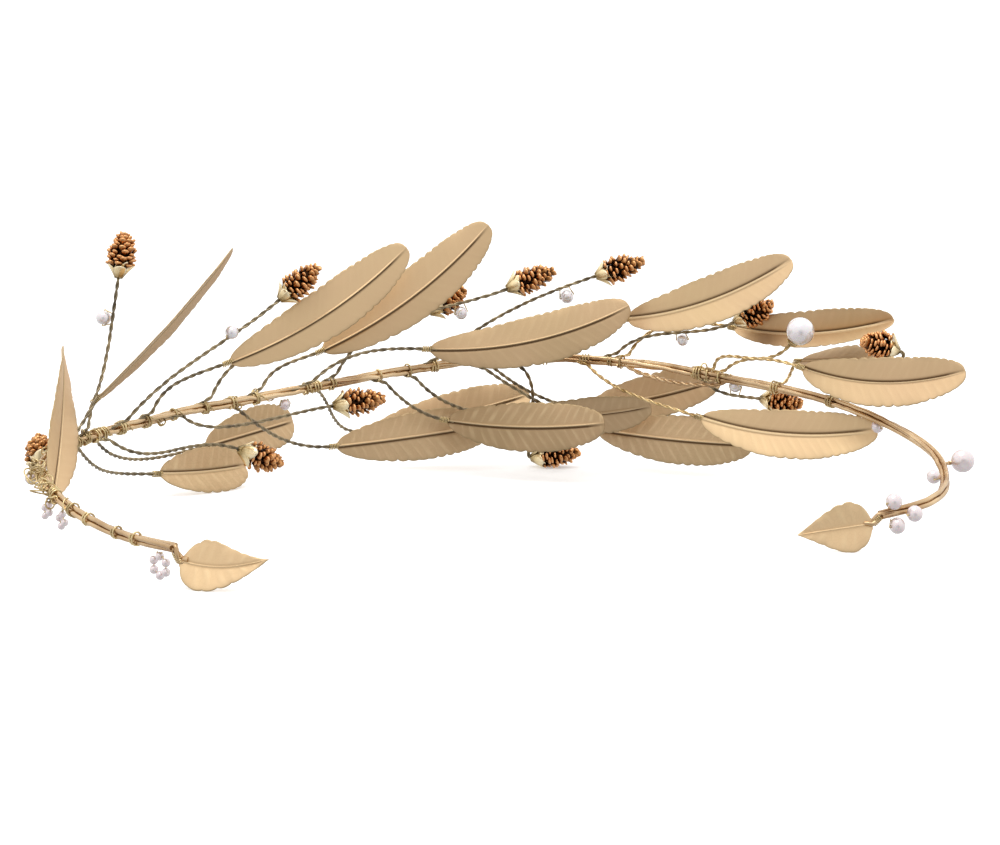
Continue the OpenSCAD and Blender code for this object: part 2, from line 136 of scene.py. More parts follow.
# Pearls wired to the band, one group a row. Each pearl's columns: station, bearing round the band
# with 0 outwards and 90 upwards, diameter, distance off the band, and 1 where a pin bears it.
BAND_PEARLS = [
    [(3.6, -90, 1.4, 0, 0), (5.1, -90, 1.4, 0.8, 0), (5.1, -90, 1.4, 2.3, 0),
     (3.6, -90, 1.4, 3, 0), (2.1, -90, 1.4, 2.3, 0), (2.1, -90, 1.4, 0.8, 0)],
    [(31, -90, 1.2, 0.4, 0), (32, -90, 1.2, 1.4, 0), (31, -90, 1.2, 2.4, 0), (30, -90, 1.2, 1.4, 0),
     (35, -75, 1.2, 0.4, 0), (36, -75, 1.2, 1.4, 0), (35, -75, 1.2, 2.4, 0), (34, -75, 1.2, 1.4, 0),
     (43.5, -30, 2.2, 0, 0)],
    [(105, -90, 2, 0, 0)],
    [(224, -60, 2.2, 0, 0)],
    [(247, 10, 4, 0.9, 1), (252, 180, 2.4, 0, 0)],
    [(273, 60, 2.7, 0, 0), (273, -50, 2.7, 0, 0), (270, -10, 2.7, 0, 0)],
]

# The large pearl on its own stem. Columns: stem and base as a cone's, turn and rise, diameter.
STEM_PEARL = ((189.7, 80, 0.45), (207, -3, 9), (0, 50), 5)

# Leaves from this number on have stems that have kept their gilding
FIRST_GILT = 15

# A bead that hangs further off the band than this is wired to the bead before it, in a flower
FLOWER_GAP = 0.5

# Tangles of stray wire. Columns: station, distance outside the band, height over it, reach and turns.
TANGLES = [
    (36, 1.2, 0.5, 1.9, 6), (40, 1.4, 1.2, 2.1, 6), (44, 1, 1, 1.6, 5), (33, 1, -0.5, 1.3, 4),
    (50, 0, 0.6, 1.2, 3), (62, 0, 0.9, 1, 2), (80, 0, -0.8, 1, 2), (96, 0, -0.9, 1, 2),
    (99, 0, 0.8, 1, 2), (187, 0, 0.9, 1.1, 3), (192, 0, 0.6, 1, 2), (270, 0.5, -0.4, 1, 2),
]

# Stations of knots that tie nothing on, and stretches of the band wound with binding wire
SPARE_KNOTS = (9, 14, 22, 27, 41, 58, 71, 89, 99)
BOUND_STRETCHES = ((50, 104), (26, 44))

# Stretch in which the band's wires are wound, and how far the straight ones run into it
BUNDLE_FROM = 48
BUNDLE_TO = 188
BUNDLE_LAP = 2

# Height over the floor at which the lowest tips end
FLOOR_SKIN = 0.02

# Stretch of the band beside which the loose side strand runs, how far it swings in and sags, the steps
# in its course, and the steps and the rate of its way out of the bundle before and into it after
STRAND_FROM = 174
STRAND_TO = 190
STRAND_SWING = 0.4
STRAND_SAG = 0.8
STRAND_STEPS = 40
STRAND_LEAD_STEPS = 9
STRAND_LEAD_RATE = 4.5

# Share of a bead's diameter, from its middle, at which its wire comes out
BEAD_EXIT = 0.55


# Vectors and curves
def unit(v):
    return v / np.linalg.norm(v)


def across(v, axis):
    return unit(v - np.dot(v, axis) * axis)


def heading(azimuth, rise):
    a, r = math.radians(azimuth), math.radians(rise)
    return np.array([math.cos(a) * math.cos(r), math.sin(a) * math.cos(r), math.sin(r)])


def azimuth_of(v):
    return math.degrees(math.atan2(v[1], v[0]))


def spline(a, b, c, d, t):
    return b + 0.5 * t * ((c - a) + t * ((2 * a - 5 * b + 4 * c - d) + t * (3 * (b - c) + d - a)))


def bezier(a, b, c, d, t):
    return (1 - t) ** 3 * a + 3 * t * (1 - t) ** 2 * b + 3 * t * t * (1 - t) * c + t ** 3 * d


# Course of the band: a smooth curve through the route's points, measured by its length
def smooth_course(points, splits=12):
    route = [np.array(p, float) for p in points]
    ends = [2 * route[0] - route[1]] + route + [2 * route[-1] - route[-2]]
    course = [spline(*ends[i:i + 4], k / splits) for i in range(len(route) - 1) for k in range(splits)]
    return np.array(course + [route[-1]])


COURSE = smooth_course(ROUTE)
LENGTHS = np.concatenate([[0], np.cumsum(np.linalg.norm(np.diff(COURSE, axis=0), axis=1))])
BAND_L = LENGTHS[-1]


def band_at(s):
    i = int(min(max(np.searchsorted(LENGTHS, s, side="right") - 1, 0), len(COURSE) - 2))
    return COURSE[i] + (s - LENGTHS[i]) / (LENGTHS[i + 1] - LENGTHS[i]) * (COURSE[i + 1] - COURSE[i])


def band_course(s):
    return unit(band_at(s + 1) - band_at(s - 1))


def outwards(s):
    return heading(azimuth_of(band_course(s)) + 90, 0)


def beside_band(place):
    return band_at(place[0]) + place[1] * outwards(place[0]) + place[2] * UP


def band_bearing(s, angle):
    a = math.radians(angle)
    return across(math.cos(a) * outwards(s) + math.sin(a) * UP, band_course(s))


def band_reach(s, bearing):
    return WIRE_R + WIRE_PITCH / 2 * abs(np.dot(bearing, band_bearing(s, 90)))


def set_out(base, course):
    """Foot beside the band of a leaf, cup or dish and the direction in which it points from there"""
    return beside_band(base), heading(azimuth_of(band_course(base[0])) + course[0], course[1])


# Course of a stem from its tie on the band to a foot, which it meets in the direction along
def tie_normal(tie, foot):
    return across(foot - band_at(tie[0]), band_course(tie[0]))


def tie_point(tie, foot):
    normal = tie_normal(tie, foot)
    return band_at(tie[0]) + (band_reach(tie[0], normal) + SEAT + STEM_R) * normal


def tie_course(tie, foot):
    a = math.radians(tie[1])
    return math.cos(a) * band_course(tie[0]) + math.sin(a) * tie_normal(tie, foot)


def stem_point(tie, foot, along, t):
    start = tie_point(tie, foot)
    reach = np.linalg.norm(foot - start)
    share = tie[2] if len(tie) > 2 else EASE
    return bezier(start, start + EASE * reach * tie_course(tie, foot), foot - share * reach * along, foot, t)


def stem_course(tie, foot, along, t):
    return unit(stem_point(tie, foot, along, t + 0.01) - stem_point(tie, foot, along, t - 0.01))


# Length of stem bound on before its tie, and number of steps in its course
RUN_IN = 4.0
STEM_POINTS = 26


def stem_guide(tie, foot, along, run_out):
    """Middle of a stem: out of the band's bundle, where it is bound on, and on to its foot"""
    normal = tie_normal(tie, foot)
    out = band_reach(tie[0], normal) + SEAT + STEM_R
    points = []
    for share in (1, 0.75, 0.5, 0.25):
        s = tie[0] - RUN_IN * share
        points.append(band_at(s) + (out - 0.9 * out * share) * across(normal, band_course(s)))
    points += [stem_point(tie, foot, along, i / STEM_POINTS) for i in range(STEM_POINTS + 1)]
    return points + [foot + run_out * along]


# Frame of a blade: the straight line from base to tip, the direction inwards and the one across both
def blade_frame(along, inwards):
    i = across(inwards, along)
    return along, i, np.cross(i, along)


def turned(frame_axes, roll):
    """Side and face of a blade whose halves are rolled about its length; roll may be an array"""
    c, s = np.cos(np.radians(roll))[..., None], np.sin(np.radians(roll))[..., None]
    return c * frame_axes[2] - s * frame_axes[1], c * frame_axes[1] + s * frame_axes[2]


def blade_dip(frame_axes, length, form):
    side, face = turned(frame_axes, np.array(float(form[0])))
    return form[3] * side - LEAF_BOW * length / BOW_L * face


def blade_course(frame_axes, length, form, u):
    c = length * frame_axes[0] - 4 * (1 - 2 * np.asarray(u)[..., None]) * blade_dip(frame_axes, length, form)
    return c / np.linalg.norm(c, axis=-1, keepdims=True)


def blade_point(foot, frame_axes, length, form, u):
    u = np.asarray(u)[..., None]
    return foot + length * u * frame_axes[0] - 4 * u * (1 - u) * blade_dip(frame_axes, length, form)


# Meshes
def metres(point):
    return tuple((np.asarray(point) - MIDDLE) * MM)


def linked(name, data):
    """New object of the scene that holds the mesh, lamp or camera"""
    piece = bpy.data.objects.new(name, data)
    bpy.context.scene.collection.objects.link(piece)
    return piece


def upright_to(axis):
    return Vector((0, 0, 1)).rotation_difference(Vector(axis)).to_matrix().to_4x4()


def new_piece(name, points, faces):
    """Object from points in the hoop's measures and faces, with outward normals"""
    mesh = bpy.data.meshes.new(name)
    mesh.from_pydata([metres(p) for p in points], [], faces)
    return dress_mesh(name, mesh)


def dress_mesh(name, mesh):
    """Joins points that meet, turns the faces outwards and puts the mesh into the scene"""
    work = bmesh.new()
    work.from_mesh(mesh)
    bmesh.ops.remove_doubles(work, verts=work.verts, dist=1e-7)
    bmesh.ops.recalc_face_normals(work, faces=work.faces)
    work.to_mesh(mesh)
    work.free()
    mesh.polygons.foreach_set("use_smooth", [True] * len(mesh.polygons))
    return linked(name, mesh)


def loft_faces(rows, sides):
    """Faces of rings of points one after another, closed by a fan at each end"""
    faces = []
    for j in range(rows - 1):
        for k in range(sides):
            a, b = j * sides + k, j * sides + (k + 1) % sides
            faces.append((a, b, b + sides, a + sides))
    first, last = rows * sides, rows * sides + 1
    for k in range(sides):
        faces.append((first, (k + 1) % sides, k))
        faces.append((last, (rows - 1) * sides + k, (rows - 1) * sides + (k + 1) % sides))
    return faces


def lofted(name, rings):
    points = [p for ring in rings for p in ring]
    points += [np.mean(rings[0], axis=0), np.mean(rings[-1], axis=0)]
    return new_piece(name, points, loft_faces(len(rings), len(rings[0])))


# Node trees
class Bench:
    """Adds nodes to one tree and joins them up"""

    def __init__(self, tree):
        self.tree = tree

    def add(self, kind, inputs=None, **settings):
        node = self.tree.nodes.new(kind)
        for key, value in settings.items():
            setattr(node, key, value)
        for key, value in (inputs or {}).items():
            if isinstance(value, bpy.types.NodeSocket):
                self.tree.links.new(value, node.inputs[key])
            else:
                node.inputs[key].default_value = value
        return node

    def maths(self, operation, a, b=0.0):
        return self.add("ShaderNodeMath", {0: a, 1: b}, operation=operation).outputs[0]

    def plus(self, a, b):
        return self.maths("ADD", a, b)

    def times(self, a, b):
        return self.maths("MULTIPLY", a, b)

    def remap(self, value, from_low, from_high, low, high):
        return self.add("ShaderNodeMapRange", {
            "Value": value, "From Min": from_low, "From Max": from_high, "To Min": low,
            "To Max": high}).outputs[0]

    def arrow(self, operation, a, b=None, scale=None):
        inputs = {0: a}
        if b is not None:
            inputs[1] = b
        if scale is not None:
            inputs["Scale"] = scale
        return self.add("ShaderNodeVectorMath", inputs, operation=operation).outputs[0]


def geometry_tree(name, sockets):
    """Tree with a geometry input, the inputs that are listed under their kinds and a geometry output"""
    tree = bpy.data.node_groups.new(name, "GeometryNodeTree")
    for kind, labels in {"Geometry": ["Geometry"], **sockets}.items():
        for label in labels:
            tree.interface.new_socket(label, in_out="INPUT", socket_type="NodeSocket" + kind)
    tree.interface.new_socket("Geometry", in_out="OUTPUT", socket_type="NodeSocketGeometry")
    bench = Bench(tree)
    return bench, tree.nodes.new("NodeGroupInput").outputs, tree.nodes.new("NodeGroupOutput").inputs


def finish_geometry(bench, geometry, finish, out):
    smooth = bench.add("GeometryNodeSetShadeSmooth", {"Geometry": geometry})
    real = bench.add("GeometryNodeRealizeInstances", {"Geometry": smooth.outputs[0]})
    painted = bench.add("GeometryNodeSetMaterial", {"Geometry": real.outputs[0], "Material": finish})
    bench.tree.links.new(painted.outputs[0], out[0])


def wound_wire_tree():
    """Strands of wire wound round the middle line of a stem, the band or a knot"""
    bench, given, out = geometry_tree("wound_wire", {
        "Int": ["Strands", "Sides"], "Material": ["Finish"],
        "Float": ["Wire Radius", "Wind Radius", "Pitch", "Phase", "Looseness", "Step", "Seed"]})
    line = bench.add("GeometryNodeMeshToCurve", {0: given["Geometry"]})
    even = bench.add("GeometryNodeResampleCurve", {"Curve": line.outputs[0], "Length": given["Step"]},
                     mode="LENGTH")
    copies = bench.add("GeometryNodeDuplicateElements",
                       {"Geometry": even.outputs[0], "Amount": given["Strands"]}, domain="SPLINE")
    length = bench.add("GeometryNodeSplineParameter").outputs["Length"]
    share = bench.maths("DIVIDE", copies.outputs["Duplicate Index"], given["Strands"])
    turns = bench.plus(bench.maths("DIVIDE", length, given["Pitch"]), given["Phase"])
    noise = bench.add("ShaderNodeTexNoise", {
        "Vector": bench.add("GeometryNodeInputPosition").outputs[0],
        "W": bench.plus(given["Seed"], copies.outputs["Duplicate Index"]),
        "Scale": 380.0, "Detail": 1.0}, noise_dimensions="4D")
    sway = bench.times(bench.maths("SUBTRACT", noise.outputs[0], 0.5), given["Looseness"])
    angle = bench.times(bench.plus(bench.plus(share, turns), sway), math.tau)
    radius = bench.times(given["Wind Radius"], bench.plus(1.0, sway))
    normal = bench.add("GeometryNodeInputNormal").outputs[0]
    tangent = bench.add("GeometryNodeInputTangent").outputs[0]
    side = bench.arrow("CROSS_PRODUCT", tangent, normal)
    offset = bench.arrow(
        "ADD",
        bench.arrow("SCALE", normal, scale=bench.times(radius, bench.maths("COSINE", angle))),
        bench.arrow("SCALE", side, scale=bench.times(radius, bench.maths("SINE", angle))))
    wound = bench.add("GeometryNodeSetPosition", {"Geometry": copies.outputs[0], "Offset": offset})
    section = bench.add("GeometryNodeCurvePrimitiveCircle",
                        {"Resolution": given["Sides"], "Radius": given["Wire Radius"]})
    wire = bench.add("GeometryNodeCurveToMesh", {
        "Curve": wound.outputs[0], "Profile Curve": section.outputs[0], "Fill Caps": True})
    finish_geometry(bench, wire.outputs[0], given["Finish"], out)
    return bench.tree


def whorl_tree():
    """Rows of scales or petals set round an axis, on the core that the tree is given"""
    bench, given, out = geometry_tree("whorls", {
        "Object": ["Blade"], "Int": ["Rows", "Per Row", "Seed"], "Material": ["Finish"],
        "Float": ["Length", "Radius", "First Angle", "Last Angle", "First Opening", "Last Opening",
                  "First Size", "Last Size", "Jitter"]})
    points = bench.add("GeometryNodePoints", {"Count": bench.times(given["Rows"], given["Per Row"])})
    index = bench.add("GeometryNodeInputIndex").outputs[0]
    row = bench.maths("FLOOR", bench.maths("DIVIDE", index, given["Per Row"]))
    place = bench.plus(bench.maths("MODULO", index, given["Per Row"]), bench.times(row, 0.5))
    last_row = bench.maths("MAXIMUM", bench.maths("SUBTRACT", given["Rows"], 1.0), 1.0)
    share = bench.maths("DIVIDE", row, last_row)

    def between(first, last):
        change = bench.maths("SUBTRACT", given[last], given[first])
        return bench.plus(given[first], bench.times(share, change))

    def strayed(reach, number):
        """Random value up to the reach on either side of 0, scaled by the jitter"""
        drawn = bench.add("FunctionNodeRandomValue", {
            "Min": -reach, "Max": reach, "ID": index, "Seed": bench.plus(given["Seed"], number)},
            data_type="FLOAT")
        return bench.times(given["Jitter"], drawn.outputs[1])

    turn = bench.maths("DIVIDE", bench.plus(place, strayed(1.0, 1.0)), given["Per Row"])
    azimuth = bench.times(math.tau, turn)
    radius = bench.times(given["Radius"], bench.maths("SINE", between("First Angle", "Last Angle")))
    opening = bench.plus(between("First Opening", "Last Opening"), strayed(0.8, 2.0))
    size = bench.times(between("First Size", "Last Size"), bench.plus(1.0, strayed(0.8, 3.0)))
    spot = bench.add("ShaderNodeCombineXYZ", {
        0: bench.times(radius, bench.maths("COSINE", azimuth)),
        1: bench.times(radius, bench.maths("SINE", azimuth)),
        2: bench.times(given["Length"], bench.plus(share, strayed(0.14, 4.0)))})
    placed = bench.add("GeometryNodeSetPosition",
                       {"Geometry": points.outputs[0], "Position": spot.outputs[0]})
    blade = bench.add("GeometryNodeObjectInfo", {"Object": given["Blade"]})
    spun = bench.add("ShaderNodeCombineXYZ", {1: opening, 2: azimuth})
    sized = bench.add("ShaderNodeCombineXYZ", {0: size, 1: size, 2: size})
    blades = bench.add("GeometryNodeInstanceOnPoints", {
        "Points": placed.outputs[0], "Instance": blade.outputs["Geometry"],
        "Rotation": spun.outputs[0], "Scale": sized.outputs[0]})
    joined = bench.add("GeometryNodeJoinGeometry")
    bench.tree.links.new(blades.outputs[0], joined.inputs[0])
    bench.tree.links.new(given["Geometry"], joined.inputs[0])
    finish_geometry(bench, joined.outputs[0], given["Finish"], out)
    return bench.tree


def grown(name, source, tree, values):
    """Plain mesh that the tree makes of the source object, which is then removed"""
    modifier = source.modifiers.new(tree.name, "NODES")
    modifier.node_group = tree
    names = {item.name: item.identifier for item in tree.interface.items_tree
             if item.in_out == "INPUT" and item.name != "Geometry"}
    for label, value in values.items():
        modifier[names[label]] = value
    depsgraph = bpy.context.evaluated_depsgraph_get()
    mesh = bpy.data.meshes.new_from_object(source.evaluated_get(depsgraph), depsgraph=depsgraph)
    mesh.name = name
    bpy.data.objects.remove(source)
    return linked(name, mesh)


def wound(name, guides, finish, strands=2, wire_r=0.19, wind_r=0.16, pitch=3.6, phase=0.0,
          looseness=0.0, step=0.25, sides=8, seed=0.0):
    """Wire wound along each of the guides, which are lists of points"""
    points, edges = [], []
    for guide in guides:
        edges += [(len(points) + i, len(points) + i + 1) for i in range(len(guide) - 1)]
        points += [metres(p) for p in guide]
    mesh = bpy.data.meshes.new(name)
    mesh.from_pydata(points, edges, [])
    return grown(name, linked(name + "_line", mesh), WOUND_WIRE, {
        "Strands": strands, "Wire Radius": wire_r * MM, "Wind Radius": wind_r * MM,
        "Pitch": pitch * MM, "Phase": phase, "Looseness": looseness, "Step": step * MM,
        "Sides": sides, "Seed": seed, "Finish": finish})


def place_upright(piece, foot, along):
    """Turns a piece that was made upright at the origin so that its axis runs along from the foot"""
    piece.data.transform(Matrix.Translation(Vector(metres(foot))) @ upright_to(along))
    rest_on_floor(piece)


def rest_on_floor(piece):
    """Flattens the lowest tips of a piece that lies on the floor, which they would dip into"""
    for vert in piece.data.vertices:
        vert.co.z = max(vert.co.z, FLOOR_SKIN * MM)


# Finishes
def shader(name):
    material = bpy.data.materials.new(name)
    material.use_nodes = True
    bench = Bench(material.node_tree)
    return material, bench, material.node_tree.nodes["Principled BSDF"]


def set_inputs(node, values):
    for label, value in values.items():
        node.inputs[label].default_value = value


def shaded_noise(bench, scale, detail=3.0, vector=None):
    """Noise over the vector or, where none is given, over the piece's own coordinates"""
    if vector is None:
        vector = bench.add("ShaderNodeTexCoord").outputs["Object"]
    return bench.add("ShaderNodeTexNoise", {
        "Vector": vector, "Scale": scale, "Detail": detail, "Roughness": 0.55}).outputs[0]


def blended(bench, share, a, b):
    mix = bench.add("ShaderNodeMix", {0: share, 6: a, 7: b}, data_type="RGBA")
    return mix.outputs[2]


def spread(bench, noise, low, high):
    """Stretches a noise, whose values keep near the middle, over the whole range"""
    return bench.remap(noise, 0.3, 0.7, low, high)


def surfaced(bench, shading, colour, roughness, relief, strength, metallic):
    """Gives the shading its colour, roughness and fine relief"""
    bump = bench.add("ShaderNodeBump", {"Height": relief, "Distance": 0.00003, "Strength": strength})
    for value, label in ((colour, "Base Color"), (roughness, "Roughness"), (bump.outputs[0], "Normal")):
        bench.tree.links.new(value, shading.inputs[label])
    shading.inputs["Metallic"].default_value = metallic


def matte_leaf_gold():
    """Stamped, brushed and lacquered leaf metal, with painted highlight on its ridges and painted shade
    beside its midrib and on leaves in shade
    """
    material, bench, metal = shader("matte_leaf_gold")
    flat_place = bench.add("ShaderNodeTexCoord").outputs["UV"]
    marks = {name: bench.add("ShaderNodeAttribute", attribute_name=name).outputs["Fac"]
             for name in ("painted_light_level", "relief", "rim", "groove_with_painted_shade", "net")}
    cloud = shaded_noise(bench, 70.0)
    # Painted light and shade: each leaf's painted light level runs from dark, for leaves that lie in shade,
    # to pale, for lit ones
    colour = blended(bench, marks["painted_light_level"], (0.42, 0.29, 0.155, 1), (0.90, 0.66, 0.38, 1))
    colour = blended(bench, spread(bench, cloud, 0.0, 0.35), colour, (0.72, 0.48, 0.30, 1))
    cells = bench.add("ShaderNodeTexVoronoi", {"Vector": flat_place, "Scale": 1.3},
                      feature="DISTANCE_TO_EDGE").outputs["Distance"]
    net = bench.remap(cells, 0.0, 0.09, 0.4, 0.0)
    colour = blended(bench, bench.times(net, marks["net"]), colour, (0.36, 0.25, 0.12, 1))
    # Painted highlight: the tops of the midrib and the veins are paler, as where light catches them
    colour = blended(bench, bench.times(marks["relief"], 0.55), colour, (0.98, 0.80, 0.50, 1))
    colour = blended(bench, bench.times(marks["rim"], 0.6), colour, (0.34, 0.26, 0.13, 1))
    # Painted shade: a dark band in the groove along one side of the midrib, where the ridge's shadow falls
    colour = blended(bench, bench.times(marks["groove_with_painted_shade"], 0.95), colour, (0.07, 0.03, 0.006, 1))
    grain_place = bench.add("ShaderNodeMapping", {"Vector": flat_place, "Scale": (1.2, 9.0, 1.0)})
    grain = shaded_noise(bench, 2.0, 4.0, grain_place.outputs[0])
    surfaced(bench, metal, colour, spread(bench, grain, 0.46, 0.58), grain, 0.4, 0.75)
    return material


def wire_finish(name, pale, dark, low, high, noise_scale, roughening):
    """Drawn wire with darker stretches where its plating has aged"""
    material, bench, metal = shader(name)
    age = shaded_noise(bench, noise_scale)
    fine = shaded_noise(bench, noise_scale * 9)
    colour = blended(bench, spread(bench, age, 0.0, 1.0), pale, dark)
    surfaced(bench, metal, colour, spread(bench, fine, low, high), fine, roughening, 1.0)
    return material


def scale_finish(name, root, middle, tip, roughness):
    """Cast metal whose colour runs from the root of each scale or petal to its tip: the dark root is painted
    shade where it tucks under its neighbours, and the paler tip is painted highlight
    """
    material, bench, metal = shader(name)
    reach = bench.add("ShaderNodeAttribute", attribute_name="reach").outputs["Fac"]
    cloud = shaded_noise(bench, 900.0)
    share = bench.plus(reach, spread(bench, cloud, -0.12, 0.12))
    ramp = bench.add("ShaderNodeValToRGB", {"Fac": share})
    ramp.color_ramp.elements[0].position = 0.15
    ramp.color_ramp.elements[0].color = root
    ramp.color_ramp.elements[1].position = 0.95
    ramp.color_ramp.elements[1].color = tip
    ramp.color_ramp.elements.new(0.55).color = middle
    bench.tree.links.new(ramp.outputs[0], metal.inputs["Base Color"])
    set_inputs(metal, {"Roughness": roughness, "Metallic": 0.9})
    return material


def nacre(name, pale, warm):
    """Pearl with a soft body under a glossy skin"""
    material, bench, skin = shader(name)
    cloud = shaded_noise(bench, 420.0)
    colour = blended(bench, spread(bench, cloud, 0.0, 0.6), pale, warm)
    surfaced(bench, skin, colour, spread(bench, cloud, 0.2, 0.3), cloud, 0.08, 0.5)
    set_inputs(skin, {"Coat Weight": 1.0, "Coat Roughness": 0.04, "Subsurface Weight": 0.15,
                      "Subsurface Scale": 0.0006})
    return material


LEAF_GOLD = matte_leaf_gold()
BAND_GOLD = wire_finish(
    "drawn_gold_wire", (0.90, 0.68, 0.42, 1), (0.36, 0.21, 0.10, 1), 0.2, 0.32, 100.0, 0.1)
BINDING_GOLD = wire_finish(
    "binding_wire", (0.90, 0.72, 0.40, 1), (0.34, 0.24, 0.11, 1), 0.18, 0.32, 420.0, 0.3)
GILT_TWIST = wire_finish(
    "gilt_twisted_wire", (0.85, 0.64, 0.34, 1), (0.34, 0.22, 0.09, 1), 0.2, 0.34, 300.0, 0.3)
AGED_TWIST = wire_finish(
    "aged_twisted_wire", (0.44, 0.35, 0.21, 1), (0.11, 0.09, 0.065, 1), 0.25, 0.4, 420.0, 0.3)
# Scales and petals: the dark roots are painted shade in the gaps between them, and the pale tips painted
# highlight
CUP_GOLD = scale_finish("gilt_petals", (0.42, 0.30, 0.13, 1), (0.95, 0.76, 0.44, 1),
                        (1.0, 0.86, 0.58, 1), 0.22)
COPPER = scale_finish("copper_scales", (0.03, 0.01, 0.003, 1), (0.30, 0.12, 0.03, 1),
                      (0.84, 0.43, 0.18, 1), 0.16)
PEARL = nacre("pearl_nacre", (0.86, 0.84, 0.86, 1), (0.84, 0.74, 0.74, 1))
ROSE_PEARL = nacre("rose_nacre", (0.86, 0.77, 0.77, 1), (0.78, 0.66, 0.68, 1))

WOUND_WIRE = wound_wire_tree()
WHORLS = whorl_tree()


def coated(piece, material):
    piece.data.materials.clear()
    piece.data.materials.append(material)
    return piece


def ride(piece, slot, *nodes):
    """The piece goes with the headband and stands for the nodes, which are hidden; the slot is not used"""
    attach(piece, BODY)
    if nodes:
        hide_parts(*nodes)


# Leaves
TEETH_PITCH = 1.75
ROWS_PER_TOOTH = 8
SKEW = 0.1
TOOTH_DEPTH = 0.085
SHEET_T = 0.34
RIB_H = 0.26
RIB_W = 0.15
VEIN_H = 0.06
VEIN_W = 0.13
CREASE_AWAY = 0.17
CREASE_W = 0.19
CREASE_DEPTH = 0.14
RUFFLE = 0.06
NARROW_HALF = 2.2

# Columns of a leaf's mesh: distances from the midrib, then shares of the way on to the edge
NEAR_RIB = np.array([0.0, 0.09, 0.17, 0.25, 0.33, 0.43, 0.58, 0.8])
FAR_SHARE = np.array([0.15, 0.32, 0.5, 0.67, 0.82, 0.93, 1.0])


def long_width(u):
    return np.sin(np.pi * np.clip(u, 0, 1) ** 1.22) ** 0.37


def ovate_width(u):
    return 1.08 * np.sin(np.pi * np.clip(u, 0, 1) ** 0.62) * (1 - 0.25 * u)


def sheet_faces(rows, columns):
    """Faces of two grids of points, the top and then the underside, joined round their rims"""
    count = (rows + 1) * columns
    faces = []
    for a in range(rows):
        for b in range(columns - 1):
            p = a * columns + b
            faces.append((p, p + 1, p + columns + 1, p + columns))
            faces.append((count + p, count + p + columns, count + p + columns + 1, count + p + 1))
        for edge in (0, columns - 1):
            p = a * columns + edge
            faces.append((p, p + columns, count + p + columns, count + p))
    for a in (0, rows):
        for b in range(columns - 1):
            p = a * columns + b
            faces.append((p, p + 1, count + p + 1, count + p))
    return faces


